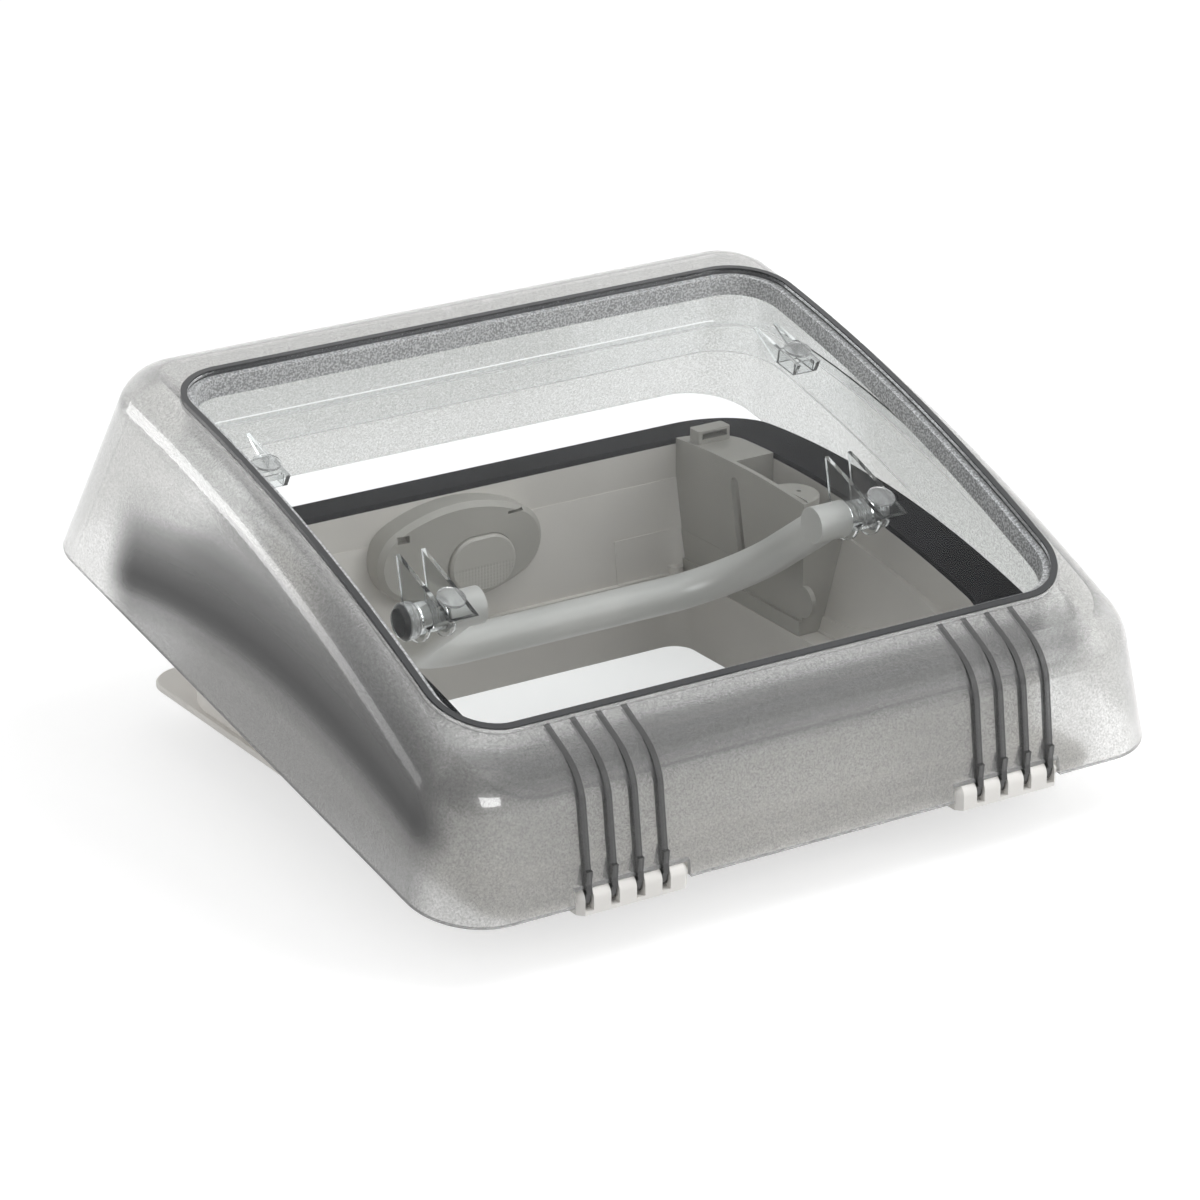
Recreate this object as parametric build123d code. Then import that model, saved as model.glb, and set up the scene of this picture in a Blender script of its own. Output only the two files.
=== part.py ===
"""Hinged double-skin roof vent for a leisure vehicle.

Millimetres, +Z up.  The roof skin is the plane z = 0, the hinge line runs
along X at the front (-Y) edge and the base opening is centred on x = 0.
The lid parts are drawn shut and then turned to the vent position.
"""

from build123d import *
import math
import os

os.makedirs("parts", exist_ok=True)

OVERCUT = 1.0

# ---- hinge and vent position ----------------------------------------------
FLANGE_HALF_Y = 222.0
KNUCKLE_R = 8.0
KNUCKLE_GAP = 0.6
HINGE_Y = -FLANGE_HALF_Y - KNUCKLE_R
HINGE_Z = 9.0
VENT_ANGLE = 10.0
HINGE_PIN_R = 2.5
RUNNING_GAP = 0.05
RIB_EYE_R = 6.0
RIB_WIDTH = 4.0
RIB_SIDE_GAP = 1.0
RIB_PROUD = 2.6
RIB_NOSE_Z = 14.5
RIB_NECK = 22.0
RIB_NECK_TAPER = 1.0
RIB_TOP_GAP = 6.0
RIB_PITCH = 18.0
RIB_COUNT = 4
BLOCK_LENGTH = 78.0
BLOCK_INSET = 47.0
BLOCK_END = 7.0
BLOCK_END_GAP = 1.5
BLOCK_CORNER = 4.0
BLOCK_FLOOR = 2.6
PIN_END = 2.0

# ---- base frame -----------------------------------------------------------
CURB_HALF_X = 221.0
FLANGE_HALF_X = CURB_HALF_X + 3.0
FLANGE_THICK = 3.5
FLANGE_CORNER = 26.0
FLANGE_BEVEL = 1.4
CURB_FRONT = 30.0 - FLANGE_HALF_Y
CURB_REAR = FLANGE_HALF_Y - 29.0
CURB_CORNER = 48.0
CURB_WALL = 3.0
CURB_INSET = 2.0
RIM_WIDTH = 34.0
RIM_HALF_X = CURB_HALF_X - RIM_WIDTH
WELL_CORNER = 34.0
SLOPE_CORNER = 38.0
CREASE_DROP = 28.0
CREASE_STEP = 1.0
SHELF_Z = 20.0
SHELF_HALF_X = RIM_HALF_X - 19.0
SHELF_WIDTH_SIDE = 18.0
THROAT_HALF_X = SHELF_HALF_X - SHELF_WIDTH_SIDE
THROAT_FRONT = CURB_FRONT + 44.0
THROAT_REAR = CURB_REAR - 47.0
THROAT_CORNER = 16.0
SHELF_WIDTH_REAR = 4.0
SHELF_WIDTH_FRONT = 2.0
COLLAR_DEPTH = 32.0
LIP_HALF_X = FLANGE_HALF_X - 26.0
LIP_HALF_Y = FLANGE_HALF_Y - 24.0
LIP_DEPTH = 8.0
RIB_WALL = 2.0
CURB_RIB_PITCH = 90.0
SWOOP_PROUD = 1.5
SWOOP_LOW_Z = 30.0
SWOOP_END_Y = -110.0
SWOOP_END_Z = 71.0
SWOOP_REACH = 30.0
STEP_Z = 50.0
STEP_PROUD = 0.6
STEP_X = 100.0
SINK = 0.3
BOSS_R = 5.0
BOSS_HEIGHT = 6.0
OVER_CURB_Z = 140.0
BLOCK_X_OUT = FLANGE_HALF_X - BLOCK_INSET
BLOCK_X_IN = BLOCK_X_OUT - BLOCK_LENGTH
RIB_X = [BLOCK_X_OUT - BLOCK_END - RIB_PITCH * k for k in range(RIB_COUNT)]

# ---- seal ring, laid on the curved top of the curb --------------------------
SEAL_THICK = 4.0
SEAL_PEAK_Y = CURB_REAR - 108.0
SEAL_PEAK_Z = 115.5
SEAL_ARCH_R = 830.0

# ---- lid shell --------------------------------------------------------------
LID_FOOT_Z = 7.0
LID_FRONT = HINGE_Y - 7.0
LID_REAR = FLANGE_HALF_Y + 62.5
LID_HALF_X = CURB_HALF_X + 46.0
LID_CORNER = 46.0
LID_TOP_Z = 190.0
LID_SLOPE_SIDE = 0.146
LID_SLOPE_FRONT = 0.311
LID_SLOPE_REAR = 0.283
LID_WALL = 3.5
LID_SHOULDER_R = 34.0
LID_SHOULDER_BEVEL = 17.0
LID_PEAK_Y = LID_REAR - 90.5
LID_PEAK_Z = 150.0
LID_ARCH_R = 1296.0
ARCH_REACH = LID_HALF_X + 53.0
OVER_LID_Z = 220.0
UNDER_LID_Z = 20.0

# ---- window and inner pane ---------------------------------------------------
WINDOW_HALF_X = LID_HALF_X - 38.0
WINDOW_FRONT = LID_FRONT + 65.0
WINDOW_REAR = LID_REAR - 79.5
WINDOW_CORNER = 40.0
BEAD_WIDTH = 4.0
BEAD_PROUD = 0.8
BEAD_DEPTH = 4.5
PANE_THICK = 3.0
FIT_GAP = 0.2
SPACER_WIDTH = 5.0
SPACER_LAP = 2.0
TRAY_HALF_X = WINDOW_HALF_X - 1.0
TRAY_FRONT = CURB_FRONT - 11.0
TRAY_REAR = CURB_REAR + 11.0
TRAY_CORNER = 44.0
INNER_DROP = 18.0
INNER_WALL = 2.5
SKIRT_DROP = 64.0
SEAL_LIP_WIDTH = 8.0
SEAL_LIP_THICK = 2.0
SEAL_LIP_GAP = 0.5

# ---- brackets bonded under the inner pane ---------------------------------------
BOW_PIVOT_Y = -24.0
BOW_PIVOT_Z = 84.0
CHEEK_THICK = 3.0
NEAR_CHEEK_X = (THROAT_HALF_X + 1.0, THROAT_HALF_X + 19.0)
NEAR_TIP_Y = BOW_PIVOT_Y + 27.0
NEAR_NOSE_Y = BOW_PIVOT_Y - 39.0
NEAR_PAD_Y = NEAR_NOSE_Y + 16.0
NEAR_LOBE_R = 14.5
FAR_CHEEK_X = (THROAT_HALF_X + 43.0, THROAT_HALF_X + 59.0)
FAR_NOSE_Y = TRAY_REAR - 106.0
FAR_TIP_Y = FAR_NOSE_Y + 53.0
FAR_PAD_Y = FAR_NOSE_Y + 14.0
FAR_DEPTH_Z = 117.2
FAR_FOOT = 3.0
FAR_FOOT_LENGTH = 21.0
FAR_WEB = 2.0
FAR_WEB_GAP = 0.3
PAD_R = 9.0
PAD_THICK = 1.6
BOND_GAP = 0.1

# ---- lifting bow ---------------------------------------------------------------
BOW_TUBE_R = 12.0
BOW_BAR_Y = BOW_PIVOT_Y + 83.0
BOW_BAR_Z = BOW_PIVOT_Z - 86.0
BOW_SIDE_GAP = 0.5
BOW_SPLAY = 5.0
BOSS_REACH = 12.0
BOSS_GAP = 0.4
PIN_REACH = 8.0
BOW_BOSS_X = NEAR_CHEEK_X[0] - CHEEK_THICK / 2 - BOSS_GAP
BOW_ARM_X = NEAR_CHEEK_X[0] - CHEEK_THICK / 2 - BOW_SIDE_GAP - BOW_TUBE_R
BOW_BAR_HALF_X = BOW_ARM_X - BOW_SPLAY
BOW_BEND_R = 58.0
BOW_PIN_R = 10.0
BOW_KNOB_R = 12.0
BOW_KNOB_BEVEL = 3.0
BOW_KNOB_CROWN = 4.0
BOW_KNOB_THICK = 9.6
BOW_KNOB_GAP = 1.9
BOW_KNOB_X_IN = NEAR_CHEEK_X[1] + CHEEK_THICK / 2 + BOW_KNOB_GAP
BOW_KNOB_X_OUT = BOW_KNOB_X_IN + BOW_KNOB_THICK

# ---- push-button catch ------------------------------------------------------------
CATCH_X = -27.5
CATCH_Z = 72.5
CATCH_WIDTH = 126.0
CATCH_HEIGHT = 69.0
CATCH_FACE_Y = THROAT_REAR - 6.0
CATCH_END_R = 26.0
CATCH_BEVEL = 3.5
CATCH_LIP = 3.0
CATCH_DEPTH = 30.0
BUTTON_X = -13.0
BUTTON_Z = 63.5
BUTTON_WIDTH = 50.0
BUTTON_HEIGHT = 38.0
BUTTON_GAP = 0.5
BUTTON_PROUD = 3.5
BUTTON_BEVEL = 1.5
BUTTON_RIM = 2.5
BUTTON_RIM_THICK = 2.0
BUTTON_FLAT = 0.1
NOTCH_DEPTH = 5.0
NOTCHES = ((-72.0, 91.0, 9.0, 5.0), (14.0, 94.0, 12.0, 2.0))
SPRING_R = 8.0
SPRING_WALL = 1.5

# ---- housing on the right of the well -----------------------------------------------
HOUSING_X = THROAT_HALF_X + 3.0
HOUSING_FRONT = 8.0
HOUSING_WALL = 3.5
HOUSING_REAR = CURB_REAR - 33.0
RECESS_REAR = 92.0
SLOT_WIDTH = 9.0
SLOT_LENGTH = 56.0
SLOT_Y = 83.5
SLOT_Z = 78.0
SLOT_LEAN = 11.5
CAP_Y = 27.5
CAP_R = 18.5
CAP_THICK = 6.0
CAP_BEVEL = 1.2
CAP_POST_Z = 58.0
CAP_POST_R = 12.0
CAP_BORE = 15.0
TONGUE_Y = 8.0
TONGUE_Z = 44.0
TONGUE_R = 11.0
SKIRT_PROUD = 2.3
SKIRT_HEIGHT = 10.0
SCREW_R = 1.6
PANEL_SCREW_Y = 40.0
PANEL_SCREW_Z = 76.0
LUG_WIDTH = 26.0
LUG_LENGTH = 12.0
LUG_HEIGHT = 9.0
LUG_INSET = 2.0
LUG_CORNER = 2.0
LUG_Y = THROAT_REAR - 6.0
LUG_RECESS = 3.0


def rounded_prism(half_x, front, rear, low, high, corner):
    """Upright prism on a rounded rectangle, centred on x = 0."""
    plan = RectangleRounded(2 * half_x, rear - front, corner)
    return extrude(Pos(0, (front + rear) / 2, low) * plan, high - low)


def tapered_block(low, high, corner):
    """Flat-sided block between two (half_x, front, rear, z) plans, upright edges rounded."""
    half_x, front, rear, z = low
    top_half_x, top_front, top_rear, top_z = high
    wedge = Wedge(2 * half_x, top_z - z, rear - front, half_x - top_half_x, rear - top_rear,
                  half_x + top_half_x, rear - top_front, align=None)
    body = Pos(-half_x, rear, z) * Rot(90, 0, 0) * wedge
    return fillet(body.edges().filter_by(lambda edge: abs((edge % 0.5).Z) > 0.5), corner)


def block(x0, x1, y0, y1, z0, z1):
    """Plain box between two opposite corners."""
    middle = Pos((x0 + x1) / 2, (y0 + y1) / 2, (z0 + z1) / 2)
    return middle * Box(x1 - x0, y1 - y0, z1 - z0)


def roller(radius, x0, x1, y, z):
    """Cylinder lying along X."""
    return Pos((x0 + x1) / 2, y, z) * Rot(0, 90, 0) * Cylinder(radius, x1 - x0)


def below_arch(peak_y, peak_z, radius):
    """Everything under a cylindrical surface that runs along X."""
    return roller(radius, -ARCH_REACH, ARCH_REACH, peak_y, peak_z - radius)


def under_lid(drop):
    return below_arch(LID_PEAK_Y, LID_PEAK_Z - drop, LID_ARCH_R - drop)


def under_seal(drop):
    return below_arch(SEAL_PEAK_Y, SEAL_PEAK_Z - drop, SEAL_ARCH_R - drop)


def lid_height(y, drop=0.0):
    """Height of the shut lid surface at y, less a drop."""
    run = y - LID_PEAK_Y
    radius = LID_ARCH_R - drop
    return LID_PEAK_Z - LID_ARCH_R + math.sqrt(radius ** 2 - run ** 2)


def seal_height(y, drop=0.0):
    run = y - SEAL_PEAK_Y
    radius = SEAL_ARCH_R - drop
    return SEAL_PEAK_Z - SEAL_ARCH_R + math.sqrt(radius ** 2 - run ** 2)


def side_plate(points, x0, x1):
    """Flat plate standing in the YZ plane between x0 and x1."""
    outline = Plane.YZ * Polygon(*points, align=None)
    return Pos(x0, 0, 0) * extrude(outline, x1 - x0, dir=(1, 0, 0))


def vent(part, angle=VENT_ANGLE):
    """Turn a shut lid part about the hinge line."""
    back = Pos(0, -HINGE_Y, -HINGE_Z)
    return Pos(0, HINGE_Y, HINGE_Z) * Rot(angle, 0, 0) * back * part


def mirrored(part):
    return mirror(part, about=Plane.YZ)


def save(part, name):
    part.label = name
    export_step(part, "parts/" + name + ".step")


# ---- lid shell --------------------------------------------------------------
def lid_plan(z, inset, nose):
    """Half width, front, rear and height of the lid's flat-sided outline."""
    rise = z - LID_FOOT_Z
    return (LID_HALF_X - LID_SLOPE_SIDE * rise - inset,
            LID_FRONT + LID_SLOPE_FRONT * rise + inset - nose,
            LID_REAR - LID_SLOPE_REAR * rise - inset, z)


def lid_sides(inset, low, nose):
    body = tapered_block(lid_plan(low, inset, nose), lid_plan(LID_TOP_Z, inset, nose),
                         LID_CORNER - inset)
    return body & under_lid(inset)


def lid_outer(nose=0.0):
    """Drafted, arch-topped block with a rounded shoulder."""
    body = lid_sides(0.0, LID_FOOT_Z, nose)
    return fillet(body.faces().sort_by(Axis.Z)[-1].edges(), LID_SHOULDER_R)


def lid_cavity():
    """Hollow of the lid, with a bevelled shoulder that keeps the wall even."""
    body = lid_sides(LID_WALL, LID_FOOT_Z - OVERCUT, 0.0)
    return chamfer(body.faces().sort_by(Axis.Z)[-1].edges(), LID_SHOULDER_BEVEL)


def hinge_rib(x, outer, cavity):
    """Rib that follows the front wall down to an eye on the hinge pin."""
    x0 = x - RIB_WIDTH / 2
    x1 = x + RIB_WIDTH / 2
    zone = block(x0, x1, LID_FRONT - LID_WALL, WINDOW_FRONT - RIB_TOP_GAP, RIB_NOSE_Z, LID_TOP_Z)
    rib = (outer & zone) - cavity
    arm_top = LID_FOOT_Z + RIB_NECK
    arm = RIB_EYE_R - RIB_NECK_TAPER
    neck = side_plate(
        [(HINGE_Y - RIB_EYE_R, HINGE_Z), (HINGE_Y + RIB_EYE_R, HINGE_Z),
         (HINGE_Y + arm, arm_top), (HINGE_Y - arm, arm_top)], x0, x1)
    eye = roller(RIB_EYE_R, x0, x1, HINGE_Y, HINGE_Z)
    bore = roller(HINGE_PIN_R + RUNNING_GAP, x0 - OVERCUT, x1 + OVERCUT, HINGE_Y, HINGE_Z)
    return rib + neck + eye - bore


def make_lid_shell():
    outer = lid_outer()
    cavity = lid_cavity()
    proud = lid_outer(RIB_PROUD)
    window = rounded_prism(WINDOW_HALF_X + FIT_GAP, WINDOW_FRONT - FIT_GAP,
                           WINDOW_REAR + FIT_GAP, UNDER_LID_Z, OVER_LID_Z, WINDOW_CORNER)
    shell = outer - cavity - window
    for side in (-1, 1):
        ends = sorted((side * (BLOCK_X_IN - BLOCK_END_GAP), side * (BLOCK_X_OUT + BLOCK_END_GAP)))
        shell -= roller(KNUCKLE_R + KNUCKLE_GAP, ends[0], ends[1], HINGE_Y, HINGE_Z)
        for x in RIB_X:
            shell += hinge_rib(side * x, proud, cavity)
    return shell


# ---- window, spacer and inner pane ---------------------------------------------
def window_prism(inset, low=UNDER_LID_Z, high=OVER_LID_Z):
    return rounded_prism(WINDOW_HALF_X - inset, WINDOW_FRONT + inset, WINDOW_REAR - inset,
                         low, high, WINDOW_CORNER - inset)


def lid_layer(inset, drop_top, drop_bottom):
    """Slice of the window opening between two depths under the lid surface."""
    return (window_prism(inset) & under_lid(drop_top)) - under_lid(drop_bottom)


def make_window_bead():
    ring = lid_layer(0.0, -BEAD_PROUD, BEAD_DEPTH)
    return ring - window_prism(BEAD_WIDTH)


def make_outer_pane():
    return lid_layer(BEAD_WIDTH + FIT_GAP, 0.0, PANE_THICK)


def make_spacer():
    ring = lid_layer(BEAD_WIDTH - SPACER_LAP, BEAD_DEPTH + BOND_GAP, INNER_DROP - BOND_GAP)
    return ring - window_prism(BEAD_WIDTH + SPACER_WIDTH)


def tray_prism(inset, low=UNDER_LID_Z, high=OVER_LID_Z):
    return rounded_prism(TRAY_HALF_X - inset, TRAY_FRONT + inset, TRAY_REAR - inset,
                         low, high, TRAY_CORNER - inset)


def make_inner_pane():
    """Clear tray: curved pane, skirt round the curb and a lip over the seal."""
    body = (tray_prism(0.0) & under_lid(INNER_DROP)) - under_lid(SKIRT_DROP)
    tray = body - (tray_prism(INNER_WALL) & under_lid(INNER_DROP + INNER_WALL))
    lip = tray_prism(INNER_WALL / 2) & under_seal(-SEAL_LIP_GAP - SEAL_LIP_THICK)
    lip -= under_seal(-SEAL_LIP_GAP)
    lip -= tray_prism(INNER_WALL + SEAL_LIP_WIDTH)
    return tray + (lip & under_lid(INNER_DROP))


# ---- brackets --------------------------------------------------------------------
def roof_edge(y0, y1, steps=6):
    """Points along the underside of the inner pane from y0 to y1."""
    drop = INNER_DROP + INNER_WALL + BOND_GAP
    return [(y0 + (y1 - y0) * k / steps, lid_height(y0 + (y1 - y0) * k / steps, drop))
            for k in range(steps + 1)]


def make_near_bracket():
    """Two gusset cheeks with round lobes about the bow pin, joined by a front web."""
    top = roof_edge(NEAR_TIP_Y, NEAR_NOSE_Y)
    foot = [(BOW_PIVOT_Y - NEAR_LOBE_R, BOW_PIVOT_Z), (BOW_PIVOT_Y + NEAR_LOBE_R, BOW_PIVOT_Z)]
    bracket = Part()
    for x in NEAR_CHEEK_X:
        x0 = x - CHEEK_THICK / 2
        bracket += side_plate(top + foot, x0, x0 + CHEEK_THICK)
        bracket += roller(NEAR_LOBE_R, x0, x0 + CHEEK_THICK, BOW_PIVOT_Y, BOW_PIVOT_Z)
    inner_x = NEAR_CHEEK_X[0] + CHEEK_THICK / 2
    outer_x = NEAR_CHEEK_X[1] - CHEEK_THICK / 2
    nose_z = lid_height(NEAR_NOSE_Y, INNER_DROP + INNER_WALL + BOND_GAP)
    web = [(NEAR_NOSE_Y, nose_z), foot[0],
           (BOW_PIVOT_Y - NEAR_LOBE_R + CHEEK_THICK, BOW_PIVOT_Z),
           (NEAR_NOSE_Y + CHEEK_THICK, nose_z)]
    bracket += side_plate(web, inner_x, outer_x)
    return bracket - roller(BOW_PIN_R + RUNNING_GAP, NEAR_CHEEK_X[0] - CHEEK_THICK,
                            NEAR_CHEEK_X[1] + CHEEK_THICK, BOW_PIVOT_Y, BOW_PIVOT_Z)


def make_far_bracket():
    """Shallow stop socket with two gusset cheeks, open underneath."""
    top = roof_edge(FAR_TIP_Y, FAR_NOSE_Y)
    foot_y = FAR_NOSE_Y + FAR_FOOT
    foot = [(foot_y, FAR_DEPTH_Z), (foot_y + FAR_FOOT_LENGTH, FAR_DEPTH_Z)]
    bracket = Part()
    for x in FAR_CHEEK_X:
        bracket += side_plate(top + foot, x - CHEEK_THICK / 2, x + CHEEK_THICK / 2)
    inner_x = FAR_CHEEK_X[0] + CHEEK_THICK / 2
    outer_x = FAR_CHEEK_X[1] - CHEEK_THICK / 2
    for y in (foot_y, foot_y + FAR_FOOT_LENGTH - FAR_WEB):
        roof_z = lid_height(y, INNER_DROP + INNER_WALL + BOND_GAP + FAR_WEB_GAP)
        bracket += block(inner_x, outer_x, y, y + FAR_WEB, FAR_DEPTH_Z, roof_z)
    return bracket


def make_pad(x, y):
    """Round bonding pad between the inner pane and a bracket, on the pane's top."""
    disc = Pos(x, y, OVER_LID_Z / 2) * Cylinder(PAD_R, OVER_LID_Z)
    return (disc & under_lid(INNER_DROP - BOND_GAP - PAD_THICK)) - under_lid(INNER_DROP - BOND_GAP)


# ---- lifting bow --------------------------------------------------------------------
def make_bow_tube():
    """Half a bow from the middle of its bar to an end boss, and its mirror image."""
    middle = (0, BOW_BAR_Y, BOW_BAR_Z)
    knee = (BOW_BAR_HALF_X, BOW_BAR_Y, BOW_BAR_Z)
    shoulder = (BOW_ARM_X, BOW_PIVOT_Y, BOW_PIVOT_Z)
    path = FilletPolyline(middle, knee, shoulder, radius=BOW_BEND_R)
    half = sweep(Plane(origin=middle, z_dir=(1, 0, 0)) * Circle(BOW_TUBE_R), path=path)
    half += roller(BOW_TUBE_R, BOW_ARM_X - BOSS_REACH, BOW_BOSS_X, BOW_PIVOT_Y, BOW_PIVOT_Z)
    half -= roller(BOW_PIN_R, BOW_ARM_X - PIN_REACH, BOW_BOSS_X + OVERCUT, BOW_PIVOT_Y, BOW_PIVOT_Z)
    return half + mirrored(half)


def make_bow_pin():
    return roller(BOW_PIN_R, BOW_ARM_X - PIN_REACH, BOW_KNOB_X_OUT - BOW_KNOB_CROWN,
                  BOW_PIVOT_Y, BOW_PIVOT_Z)


def make_bow_knob():
    """Crowned end stop pressed on the bow pin outside the bracket."""
    body = roller(BOW_KNOB_R, BOW_KNOB_X_IN, BOW_KNOB_X_OUT, BOW_PIVOT_Y, BOW_PIVOT_Z)
    body = chamfer(body.faces().sort_by(Axis.X)[-1].edges(), BOW_KNOB_BEVEL)
    return body - roller(BOW_PIN_R, BOW_KNOB_X_IN - OVERCUT, BOW_KNOB_X_OUT - BOW_KNOB_CROWN,
                         BOW_PIVOT_Y, BOW_PIVOT_Z)


# ---- base frame -----------------------------------------------------------------------
def well_void(grow):
    """Hollow of the well: upper shaft, sloping sides, shelf and throat."""
    rim_x = RIM_HALF_X + grow
    rim_front = CURB_FRONT + RIM_WIDTH - grow
    rim_rear = CURB_REAR - RIM_WIDTH + grow
    corner = WELL_CORNER + grow
    shaft = rounded_prism(rim_x, rim_front, rim_rear, SHELF_Z, OVER_CURB_Z, corner)
    shaft -= under_seal(CREASE_DROP + grow)
    slope_top = SEAL_PEAK_Z - CREASE_DROP + CREASE_STEP
    shelf_front = THROAT_FRONT - SHELF_WIDTH_FRONT - grow
    shelf_rear = THROAT_REAR + SHELF_WIDTH_REAR + grow
    slope = tapered_block((SHELF_HALF_X + grow, shelf_front, shelf_rear, SHELF_Z - grow),
                          (rim_x, rim_front, rim_rear, slope_top), SLOPE_CORNER + grow)
    throat = rounded_prism(THROAT_HALF_X + grow, THROAT_FRONT - grow, THROAT_REAR + grow,
                           -COLLAR_DEPTH - OVERCUT, SHELF_Z, THROAT_CORNER + grow)
    return shaft + slope + throat


def curb_core(grow=0.0):
    """Space inside the curb's outer wall and under its top plate."""
    wall = CURB_WALL - grow
    inset = CURB_INSET + wall
    core = rounded_prism(CURB_HALF_X - inset, CURB_FRONT + inset, CURB_REAR - inset, -grow,
                         OVER_CURB_Z, CURB_CORNER - wall)
    return core & under_seal(SEAL_THICK + wall)


def curb_ribs():
    """Upright webs between the curb's outer wall and the well."""
    webs = Part()
    for k in (-1, 0, 1):
        offset = k * CURB_RIB_PITCH
        webs += block(offset - RIB_WALL / 2, offset + RIB_WALL / 2,
                      CURB_FRONT, CURB_REAR, FLANGE_THICK, OVER_CURB_Z)
        webs += block(-CURB_HALF_X, CURB_HALF_X,
                      offset - RIB_WALL / 2, offset + RIB_WALL / 2, FLANGE_THICK, OVER_CURB_Z)
    return webs


def swoop():
    """Raised skirting on the right slope whose edge sweeps up to the front."""
    rear = HOUSING_FRONT - SINK
    low = SHELF_Z - SINK
    edge = Spline((rear, SWOOP_LOW_Z), (SWOOP_END_Y, SWOOP_END_Z), tangents=[(-1, 0), (-2, 1)])
    rest = Polyline(edge @ 1, (SWOOP_END_Y, low), (rear, low), edge @ 0)
    plan = Plane.YZ * make_face([edge, rest])
    start = Pos(SHELF_HALF_X - SWOOP_PROUD - OVERCUT, 0, 0)
    skirting = start * extrude(plan, SWOOP_REACH, dir=(1, 0, 0))
    return skirting & (well_void(SINK) - well_void(-SWOOP_PROUD))


def rear_step():
    """Slight thickening of the rear wall below its step line."""
    band = block(STEP_X, HOUSING_X - SKIRT_PROUD - FIT_GAP, THROAT_REAR, CURB_REAR,
                 SHELF_Z - SINK, STEP_Z)
    return band & (well_void(SINK) - well_void(-STEP_PROUD))


def make_base_frame():
    """Flange, hollow curb, well and throat collar, open underneath."""
    flange = rounded_prism(FLANGE_HALF_X, -FLANGE_HALF_Y, FLANGE_HALF_Y, 0,
                           FLANGE_THICK, FLANGE_CORNER)
    flange = chamfer(flange.faces().sort_by(Axis.Z)[-1].edges(), FLANGE_BEVEL)
    lip = rounded_prism(LIP_HALF_X, -LIP_HALF_Y, LIP_HALF_Y, -LIP_DEPTH, FLANGE_THICK,
                        CURB_CORNER)
    channel_y = LIP_HALF_Y - CURB_WALL
    channel = rounded_prism(LIP_HALF_X - CURB_WALL, -channel_y, channel_y,
                            -LIP_DEPTH - OVERCUT, FLANGE_THICK + OVERCUT, CURB_CORNER - CURB_WALL)
    curb = rounded_prism(CURB_HALF_X - CURB_INSET, CURB_FRONT + CURB_INSET,
                         CURB_REAR - CURB_INSET, 0, OVER_CURB_Z, CURB_CORNER)
    curb &= under_seal(SEAL_THICK)
    collar = rounded_prism(THROAT_HALF_X + CURB_WALL, THROAT_FRONT - CURB_WALL,
                           THROAT_REAR + CURB_WALL, -COLLAR_DEPTH, SHELF_Z - CURB_WALL,
                           THROAT_CORNER + CURB_WALL)
    well_wall = well_void(CURB_WALL) & (curb + collar)
    frame = (curb - curb_core()) + (flange + lip - channel)
    frame += curb_ribs() & curb
    frame += well_wall + collar
    frame -= well_void(0.0)
    boss = Pos(THROAT_HALF_X - BOSS_R, THROAT_REAR, SHELF_Z + BOSS_HEIGHT / 2)
    frame += (boss * Cylinder(BOSS_R, BOSS_HEIGHT)) & well_void(SINK)
    return frame + swoop() + rear_step()


def make_seal():
    ring = rounded_prism(CURB_HALF_X, CURB_FRONT, CURB_REAR, SHELF_Z, OVER_CURB_Z, CURB_CORNER)
    ring = (ring & under_seal(0.0)) - under_seal(SEAL_THICK)
    return ring - rounded_prism(RIM_HALF_X, CURB_FRONT + RIM_WIDTH,
                                CURB_REAR - RIM_WIDTH, SHELF_Z, OVER_CURB_Z, WELL_CORNER)


# ---- housing on the right of the well ---------------------------------------------------
def make_housing():
    """Upright wall with a slot, rear shelf and partitions, fitted to the well."""
    inner = HOUSING_X + HOUSING_WALL
    outer = CURB_HALF_X
    wall = block(HOUSING_X, inner, HOUSING_FRONT, HOUSING_REAR, SHELF_Z, OVER_CURB_Z)
    slot = Plane.YZ * (Pos(SLOT_Y, SLOT_Z) * Rot(0, 0, 90 - SLOT_LEAN)
                       * SlotOverall(SLOT_LENGTH, SLOT_WIDTH))
    wall += block(HOUSING_X - STEP_PROUD, inner, SLOT_Y, HOUSING_REAR, SHELF_Z, STEP_Z)
    wall -= Pos(HOUSING_X - OVERCUT, 0, 0) * extrude(slot, HOUSING_WALL + 2 * OVERCUT)
    wall -= roller(SCREW_R, HOUSING_X - OVERCUT, inner + OVERCUT, PANEL_SCREW_Y, PANEL_SCREW_Z)
    wall += roller(TONGUE_R, HOUSING_X, inner, TONGUE_Y, TONGUE_Z)
    wall += block(HOUSING_X - SKIRT_PROUD, inner, HOUSING_FRONT, HOUSING_REAR,
                  SHELF_Z, SHELF_Z + SKIRT_HEIGHT)
    shelf = block(HOUSING_X, outer, RECESS_REAR, HOUSING_REAR, SHELF_Z, OVER_CURB_Z)
    shelf -= under_seal(HOUSING_WALL)
    back = block(HOUSING_X, outer, RECESS_REAR, RECESS_REAR + HOUSING_WALL, SHELF_Z, OVER_CURB_Z)
    front = block(HOUSING_X, outer, HOUSING_FRONT, HOUSING_FRONT + HOUSING_WALL, SHELF_Z, OVER_CURB_Z)
    front &= under_seal(CREASE_DROP)
    housing = (wall + shelf + back + front) & under_seal(0.0)
    return housing & well_void(-FIT_GAP)


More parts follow.
